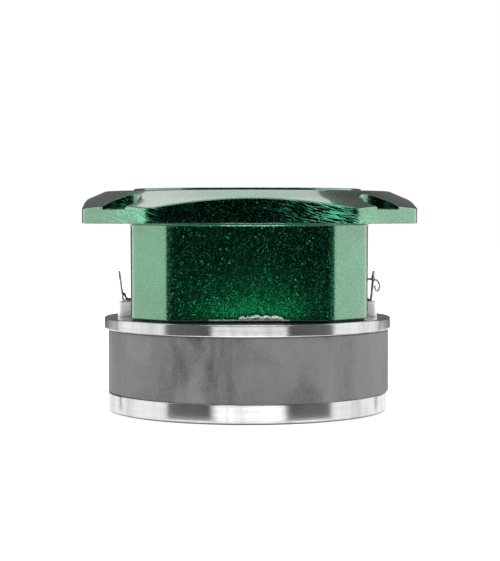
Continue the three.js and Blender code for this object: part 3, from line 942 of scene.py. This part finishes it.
def make_pole(steel, copper):
    low, high = box_mm("pole_piece")
    core = [(BOLT_BORE, low.z), (high.x, low.z), (high.x, high.z, 0.15), (BOLT_BORE, high.z, 0.15)]
    turned_piece("pole_piece", "turned", core, steel, MEDIUM)
    cap_low, cap_high = box_mm("copper_pole_cap")
    cap = [
        (high.x + 0.05, cap_low.z),
        (cap_high.x, cap_low.z, 0.1),
        (cap_high.x, cap_high.z, 0.35),
        (BOLT_BORE, cap_high.z),
        (BOLT_BORE, high.z + 0.05),
        (high.x + 0.05, high.z + 0.05),
    ]
    turned_piece("copper_pole_cap", "drawn", cap, copper, MEDIUM)


def make_pins(material):
    for node, side in (("locating_pin_front", -1), ("locating_pin_back", 1)):
        low, high = box_mm(node)
        radius = high.x
        corners = [(0, low.z), (radius, low.z, 0.25), (radius, high.z, 0.25), (0, high.z)]
        turned_piece(node, "turned", corners, material, SMALL, centre=(0, side * PIN_CIRCLE))


# ---- Bullet and fasteners ----


def make_bullet(material):
    nose = [(bullet_radius(height), height) for height in nose_heights()]
    corners = [
        (0, BOLT_TIP + 2),
        (BOLT_BORE, BOLT_TIP + 1),
        (BOLT_BORE, BULLET_BASE),
        (CLAMP_RADIUS, BULLET_BASE, 0.1),
        (CLAMP_RADIUS + 0.3, SLOT_UNDERSIDE - 0.6, 0.3),
        (BULLET_RADIUS, SLOT_UNDERSIDE, 0.15),
        *nose,
    ]
    return turned_piece("bullet", "lacquered", corners, material)


def nose_heights():
    """Heights up the bullet, closer together towards its blunt tip."""
    return [THROAT_Z + (BULLET_TIP - THROAT_Z) * (1 - (1 - share) ** 2) for share in steps_between(0, 1, 36)]


def make_bullet_bolt(material):
    low, high = box_mm("bullet_bolt")
    head = high.x
    shank = 2.5
    shoulder = low.z + 0.3
    thread_start = 30
    corners = [
        (0, low.z),
        (head, low.z, 0.1),
        (head, shoulder, 0.1),
        (shank, shoulder + head - shank, 0.3),
        *thread(shank, thread_start, high.z - 0.6),
        (shank - 0.5, high.z),
        (0, high.z),
    ]
    bolt = turned("bullet_bolt_threaded", corners, SMALL)
    combined(bolt, hexagon(3, low.z - 1, low.z + 2), "DIFFERENCE")
    return finish(smooth(bolt), "bullet_bolt", material)


def thread(radius, bottom, top, pitch=0.8):
    """The zigzag edge of a screw's thread."""
    depth = pitch * 0.45
    points = []
    turns = int((top - bottom) / pitch)
    for index in range(turns):
        points.append((radius - depth, bottom + index * pitch))
        points.append((radius, bottom + (index + 0.5) * pitch))
    return points


def make_screws(material):
    for corner, (x, y) in CORNERS.items():
        node = f"assembly_screw_{corner}"
        low, high = box_mm(node)
        centre = (x * SCREW_PLACE, y * SCREW_PLACE)
        shank = 1.5
        head = 2.75
        head_height = 2.95
        seat = high.z - head_height
        profile = [
            (0, low.z),
            (shank - 0.35, low.z),
            *thread(shank, low.z + 0.3, low.z + 9.5, 0.5),
            (shank, seat - 22),
            (shank, seat),
            (head, seat, 0.1),
            (head, high.z, 0.35),
            (0, high.z),
        ]
        screw = turned(f"{node}_socket_head", profile, SMALL, centre)
        combined(screw, hexagon(2.5, high.z - 1.5, high.z + 1, centre), "DIFFERENCE")
        finish(smooth(screw), node, material)


# ---- Diaphragm and voice coil ----


def make_diaphragm(material):
    ridge = 19.25
    low, high = box_mm("diaphragm_ring")
    shell = 0.2
    crest = high.z - shell
    corners = [
        (RING_INNER, low.z),
        (RING_INNER + 0.5, low.z, 0.2),
        (ridge, crest, 0.3),
        (RING_OUTER - 0.5, low.z, 0.2),
        (RING_OUTER, low.z),
        (RING_OUTER, low.z + shell),
        (RING_OUTER - 0.4, low.z + shell, 0.2),
        (ridge, high.z, 0.25),
        (RING_INNER + 0.4, low.z + shell, 0.2),
        (RING_INNER, low.z + shell),
    ]
    return turned_piece("diaphragm_ring", "pressed", corners, material, MEDIUM, MOVING)


def make_suspension(node, clamped, roll_start, moving, material):
    """A film ring between the bodies, on neither of them.

    It rises a little all the way from its clamped edge.
    """
    rise = 0.12
    low = FILM_Z + 0.02
    lower = [(clamped, low)]
    for share in steps_between(0, 1, 12):
        radius = roll_start + (moving - roll_start) * share
        lower.append((radius, low + rise * share + 0.22 * math.sin(math.pi * share) * share))
    thickness = 0.08
    upper = [(radius, height + thickness) for radius, height in reversed(lower)]
    film = smooth(turned(f"{node}_film", lower + upper, MEDIUM))
    finish(film, node, material, body=None)
    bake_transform(film)
    return film


def make_voice_coil(film, wire):
    low, high = box_mm("voice_coil_former")
    inner = 19.05
    former = [(inner, low.z), (high.x, low.z), (high.x, high.z), (inner, high.z)]
    turned_piece("voice_coil_former", "rolled", former, film, MEDIUM, MOVING)
    low, high = box_mm("voice_coil_winding")
    turns = 14
    pitch = (high.z - low.z) / turns
    wound = 19.3
    outside = []
    for index in range(turns):
        for share in (0.05, 0.5, 0.95):
            bulge = 0.08 * math.sin(math.pi * share)
            outside.append((high.x - 0.08 + bulge, low.z + (index + share) * pitch))
    corners = [(wound, low.z), *outside, (wound, high.z)]
    winding = smooth(turned("voice_coil_winding_wound", corners, MEDIUM), 60)
    finish(winding, "voice_coil_winding", wire, MOVING)


def make_clamp_ring(material):
    low, high = box_mm("inner_clamp_ring")
    corners = [(BOLT_BORE, low.z, 0.2), (high.x, low.z, 0.2), (high.x, high.z, 0.2), (BOLT_BORE, high.z, 0.2)]
    return turned_piece("inner_clamp_ring", "turned", corners, material, MEDIUM)


# ---- Carrier, terminals and leads ----


def arm(side, inner, outer, half_width, bottom, top, rounding=0.3):
    """One block of a terminal post's arm, with rounded outer corners and a softened upper edge."""
    corners = [
        (inner, -half_width),
        (outer, -half_width, rounding),
        (outer, half_width, rounding),
        (inner, half_width),
    ]
    outline = [(side * x, y) for x, y in rounded(corners, 6)]
    if side < 0:
        outline.reverse()
    return lofted("arm", outline, [(0, bottom), (0, top - 0.35), (0.1, top - 0.1), (0.35, top)])


def make_carrier(material):
    """The nylon ring that holds the diaphragm, with an arm on each side that carries a terminal post."""
    low = box_mm("diaphragm_carrier")[0]
    seat = FILM_Z - 0.05
    corners = [
        (CARRIER_INNER, low.z, 0.15),
        (CARRIER_RADIUS, low.z, 0.15),
        (CARRIER_RADIUS, CARRIER_TOP, 0.2),
        (CARRIER_LEDGE, CARRIER_TOP, 0.2),
        (CARRIER_LEDGE, seat),
        (CARRIER_INNER, seat, 0.15),
    ]
    carrier = turned("diaphragm_carrier_moulded", corners)
    arch = BODY_BOTTOM + 0.05
    riser_inner = RECESS_RADIUS + 0.4
    post_inner = BODY_HALF_WIDTH + 0.4
    # Each block is a little narrower than the next, so that no two faces share a plane.
    shy = 0.03
    for side in (-1, 1):
        low_arm_inner = CARRIER_RADIUS - 1.2
        low_arm_outer = riser_inner + 0.5
        blocks = (
            arm(side, low_arm_inner, low_arm_outer, POST_HALF_WIDTH - 2 * shy, arch, CARRIER_TOP),
            arm(side, riser_inner, post_inner + 0.8, POST_HALF_WIDTH - shy, arch, POST_TOP - shy),
            arm(side, post_inner, POST_OUTER, POST_HALF_WIDTH, low.z, POST_TOP, 1.7),
        )
        for block in blocks:
            combined(carrier, block, "UNION")
    holes = []
    for side in (-1, 1):
        holes.append(drill(RIVET_HOLE, POST_TOP - 3, POST_TOP + 1, (side * RIVET_X, 0)))
        holes.append(drill(PIN_HOLE, low.z - 1, CARRIER_TOP + 1, (0, side * PIN_CIRCLE)))
    combined(carrier, joined("carrier_holes", holes), "DIFFERENCE")
    return finish(smooth(carrier), "diaphragm_carrier", material)


def make_tab(name, side, blade_foot, blade_top, material):
    """A bent strip: a foot on the post and a blade that leans outwards, with an eyelet near its top."""
    thickness = 0.45
    half_width = 1.5
    foot_inner = 33.6
    foot_z = POST_TOP + 0.05
    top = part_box(name)[1].z / MM
    section = rounded([
        (foot_inner, foot_z),
        (blade_foot, foot_z, 0.55),
        (blade_top, top, 0.1),
        (blade_top - thickness, top, 0.1),
        (blade_foot - thickness, foot_z + thickness, 0.3),
        (foot_inner, foot_z + thickness),
    ])
    inside = (blade_foot - thickness / 2, foot_z + thickness / 2)
    rings = []
    for y in (-half_width, half_width):
        outlines = ([inside], section) if y < 0 else (section, [inside])
        for outline in outlines:
            rings.append([(side * x, y, z) for x, z in outline])
    strip = swept(f"{name}_stamped", rings)
    rivet_hole = drill(RIVET_HOLE, foot_z - 1, foot_z + 1)
    rivet_hole.data.transform(Matrix.Translation((side * RIVET_X * MM, 0, 0)))
    combined(strip, rivet_hole, "DIFFERENCE")
    eyelet_radius = 0.8
    eyelet = drill(eyelet_radius, -4, 4)
    eyelet.data.transform(Matrix.Rotation(math.pi / 2, 4, "Y"))
    eyelet.data.transform(Matrix.Translation((side * blade_top * MM, 0, EYELET_Z * MM)))
    combined(strip, eyelet, "DIFFERENCE")
    return finish(smooth(strip), name, material)


def make_rivet(name, side, material):
    low, high = box_mm(name)
    head = (high.x - low.x) / 2
    shank = 0.6
    shoulder = high.z - 0.5
    corners = [
        (0, low.z),
        (shank, low.z, 0.15),
        (shank, shoulder),
        (head, shoulder, 0.1),
        (head * 0.8, high.z - 0.05, 0.3),
        (0, high.z),
    ]
    return turned_piece(name, "domed", corners, material, SMALL, centre=(side * RIVET_X, 0))


RIGHT_LEAD = (
    (33.3, 2.4, 33.3),
    (34.6, 2.5, 33.5),
    (35.6, 2.5, 34.8),
    (35.7, 2.2, 37.0),
    (36.0, 1.2, 38.9),
    (37.1, 0.2, 39.5),
    (38.4, 0.0, 39.4),
    (39.7, -0.2, 39.1),
    (40.5, -0.4, 38.0),
    (40.5, -0.5, 36.8),
    (39.9, -0.5, 35.9),
    (39.3, -0.5, 36.3),
    (39.1, -0.5, 37.6),
)
LEFT_LEAD = (
    (-33.3, 2.4, 33.3),
    (-34.6, 2.6, 33.4),
    (-35.8, 2.8, 33.4),
    (-36.8, 2.4, 33.5),
    (-37.3, 1.6, 34.1),
    (-37.45, 0.7, 35.0),
)


def make_leads(material):
    for name, points in (("lead_wire_right", RIGHT_LEAD), ("lead_wire_left", LEFT_LEAD)):
        finish(smooth(tube(f"{name}_strand", points, WIRE_RADIUS), 60), name, material)


def make_solder(material):
    """Small beads where the leads meet the tabs. They are extra to the CAD, so they only ride along."""
    for name, centre, size in (
        ("solder_bead_right", (38.6, 0.0, 39.9), (0.55, 0.95, 1.2)),
        ("solder_bead_left", (-37.95, 0.3, 35.1), (0.5, 0.8, 0.55)),
    ):
        profile = [(math.cos(turn), math.sin(turn)) for turn in steps_between(-math.pi / 2, math.pi / 2, 12)]
        bead = turned(name, [(max(0.0, radius), height) for radius, height in profile], 24)
        bead.data.transform(Matrix.Diagonal((*size, 1)))
        displaced(bead, lambda place: place * 0.35 * noise.noise(place * 1.7))
        bead.data.transform(Matrix.Translation(Vector(centre) * MM))
        bead.data.materials.append(material)
        smooth(bead, 80)
        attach(bead, DRIVER)


# ---- Stage ----

FLOOR_NEAR = 0.05
FLOOR_FAR = 3.0


def world_material():
    """White where the camera looks past the object.

    As a light it is a dim room, nearly black straight in front.
    """
    world = bpy.data.worlds.new("studio")
    world.use_nodes = True
    nodes = world.node_tree.nodes
    links = world.node_tree.links
    output = nodes["World Output"]
    dim = nodes["Background"]
    white = nodes.new("ShaderNodeBackground")
    for background in (dim, white):
        background.inputs["Color"].default_value = (1, 1, 1, 1)
    white.inputs["Strength"].default_value = 1.0
    direction = nodes.new("ShaderNodeSeparateXYZ")
    links.new(nodes.new("ShaderNodeTexCoord").outputs["Generated"], direction.inputs[0])
    strength = nodes.new("ShaderNodeMapRange")
    for name, value in {"From Min": -0.95, "From Max": -0.7, "To Min": 0.02, "To Max": 0.15}.items():
        strength.inputs[name].default_value = value
    links.new(direction.outputs["Y"], strength.inputs["Value"])
    links.new(strength.outputs[0], dim.inputs["Strength"])
    path = nodes.new("ShaderNodeLightPath")
    choose = nodes.new("ShaderNodeMixShader")
    links.new(path.outputs["Is Camera Ray"], choose.inputs[0])
    links.new(dim.outputs[0], choose.inputs[1])
    links.new(white.outputs[0], choose.inputs[2])
    links.new(choose.outputs[0], output.inputs["Surface"])
    bpy.context.scene.world = world


def floor_material():
    """White paper that also glows away from the object, so that it melts into the white background."""
    shader = Shader("floor_paper")
    reach = shader.length(shader.place)
    shader.set(Base_Color=(0.9, 0.9, 0.9), Roughness=0.9, Specular_IOR_Level=0.0)
    shader.set(Emission_Color=(1, 1, 1), Emission_Strength=shader.between(reach, 0.06, 0.3, 0.25, 1.0))
    return shader.material


def make_floor():
    """Two flat rings of paper. Only the near one shows in reflections. Neither stops the lights below it."""
    material = floor_material()
    near = FLOOR_NEAR / MM
    far = FLOOR_FAR / MM
    thickness = 0.01
    for name, inner, outer in (("floor_near", 0.1, near), ("floor_far", near, far)):
        corners = ((inner, 0), (outer, 0), (outer, -thickness), (inner, -thickness))
        floor = swept(name, [circle(radius, height, 96) for radius, height in corners])
        floor.data.materials.append(material)
        floor.visible_glossy = name == "floor_near"
        floor.visible_shadow = False


def softbox(name, place, target, width, height, radiance):
    """A rectangular light that faces a target. Its radiance is what a mirror would show of it."""
    data = bpy.data.lights.new(name, "AREA")
    data.shape = "RECTANGLE"
    data.size = width
    data.size_y = height
    data.energy = radiance * math.pi * width * height
    light = bpy.data.objects.new(name, data)
    light.location = place
    direction = Vector(target) - Vector(place)
    light.rotation_euler = direction.to_track_quat("-Z", "Y").to_euler()
    light.visible_camera = False
    bpy.context.collection.objects.link(light)
    return light


def around(angle, distance, height):
    """A place round the object, by the angle from straight in front, seen from above."""
    turn = math.radians(angle)
    return (distance * math.sin(turn), -distance * math.cos(turn), height)


def lights_only(light, pieces):
    """Makes a light fall on some pieces and on nothing else."""
    receivers = bpy.data.collections.new(f"{light.name}_lights")
    for piece in pieces:
        receivers.objects.link(piece)
    light.light_linking.receiver_collection = receivers


def pieces_named(*starts):
    return [obj for obj in bpy.data.objects if obj.name.startswith(starts)]


def make_lights(casting, magnet, steel):
    """The polished steel gets weaker cards than the lacquer does, so that it doesn't burn out."""
    others = [obj for obj in bpy.data.objects if obj.type == "MESH" and obj not in steel]
    for name, side in (("left", -1), ("right", 1)):
        place = around(side * 96.5, 0.7, 0.2)
        lights_only(softbox(f"softbox_{name}", place, (0, 0, 0.2), 0.76, 1.1, 3.4), others)
        lights_only(softbox(f"card_{name}", place, (0, 0, 0.2), 0.76, 1.1, 1.0), steel)
    lights_only(softbox("card_front", (0, -0.55, -0.2025), (0, 0, -0.2025), 0.6, 0.395, 1.8), steel)
    lights_only(softbox("card_magnet", (0, -0.55, -0.1), (0, 0, 0.015), 0.6, 0.4, 5.0), [magnet])
    lights_only(softbox("glow_below", (0.002, -0.066, 0.02), (0.002, 0, 0.044), 0.02, 0.01, 21.0), [casting])
    terminals = pieces_named("terminal_", "lead_wire_", "solder_bead_", "diaphragm_carrier")
    lights_only(softbox("card_terminals", (0, -0.6, 0.1), (0, 0, 0.035), 0.5, 0.3, 2.0), terminals)
    softbox("card_back", (0, 0.55, -0.215), (0, 0, -0.215), 1.4, 0.37, 1.0)
    softbox("softbox_top_back", (-0.022, 0.474, 0.657), (0.048, -0.016, 0.047), 0.415, 0.54, 1.65)
    softbox("softbox_overhead", (0, 0, 1.0), (0, 0, 0), 1.0, 1.0, 2.5)
    softbox("panel_below", (0, 0, -0.45), (0, 0, 0), 1.0, 1.0, 1.5)
    softbox("softbox_top_front", (0, -0.56, 0.76), (0, 0, 0.03), 0.7, 0.4, 3.0)


# ---- The whole tweeter ----


def make_everything():
    lacquer = green_lacquer(painted_light=False)
    lacquer_with_wear_and_painted_light = green_lacquer(painted_light=True)
    steel = turned_steel()
    copper = worn_metal("copper", (0.72, 0.33, 0.18), (0.42, 0.17, 0.08), 0.25)
    brass = worn_metal("brass", (0.72, 0.55, 0.24), (0.42, 0.3, 0.12), 0.25)
    aluminium = worn_metal("bare_aluminium", (0.75, 0.76, 0.77), (0.5, 0.51, 0.52), 0.25)
    tinned = worn_metal("tinned_metal", (0.5, 0.49, 0.47), (0.12, 0.11, 0.1), 0.45, 900)
    black_steel = worn_metal("black_steel", (0.035, 0.035, 0.038), (0.012, 0.012, 0.013), 0.35)
    film = amber_film()

    casting = make_casting(lacquer_with_wear_and_painted_light)
    make_gasket(rubber())
    plates = [make_back_plate(steel), make_top_plate(steel)]
    magnet = make_magnet(ferrite())
    make_pole(steel, copper)
    make_pins(brass)
    make_bullet(lacquer)
    make_bullet_bolt(black_steel)
    make_screws(black_steel)
    make_diaphragm(aluminium)
    make_suspension("inner_suspension", 13.2, CLAMP_RADIUS + 0.3, RING_INNER - 0.1, film)
    make_suspension("outer_suspension", 26.5, CARRIER_INNER - 0.3, RING_OUTER + 0.1, film)
    make_voice_coil(film, copper)
    make_clamp_ring(aluminium)
    make_carrier(nylon())
    make_tab("terminal_tab_left", -1, 38.2, 39.4, tinned)
    make_tab("terminal_tab_right", 1, 38.2, 39.0, tinned)
    make_rivet("terminal_rivet_left", -1, tinned)
    make_rivet("terminal_rivet_right", 1, tinned)
    make_leads(wire_sleeve())
    make_solder(solder())
    return casting, magnet, plates


bpy.context.scene.view_settings.view_transform = "Standard"
make_camera()
world_material()
make_floor()
make_lights(*make_everything())
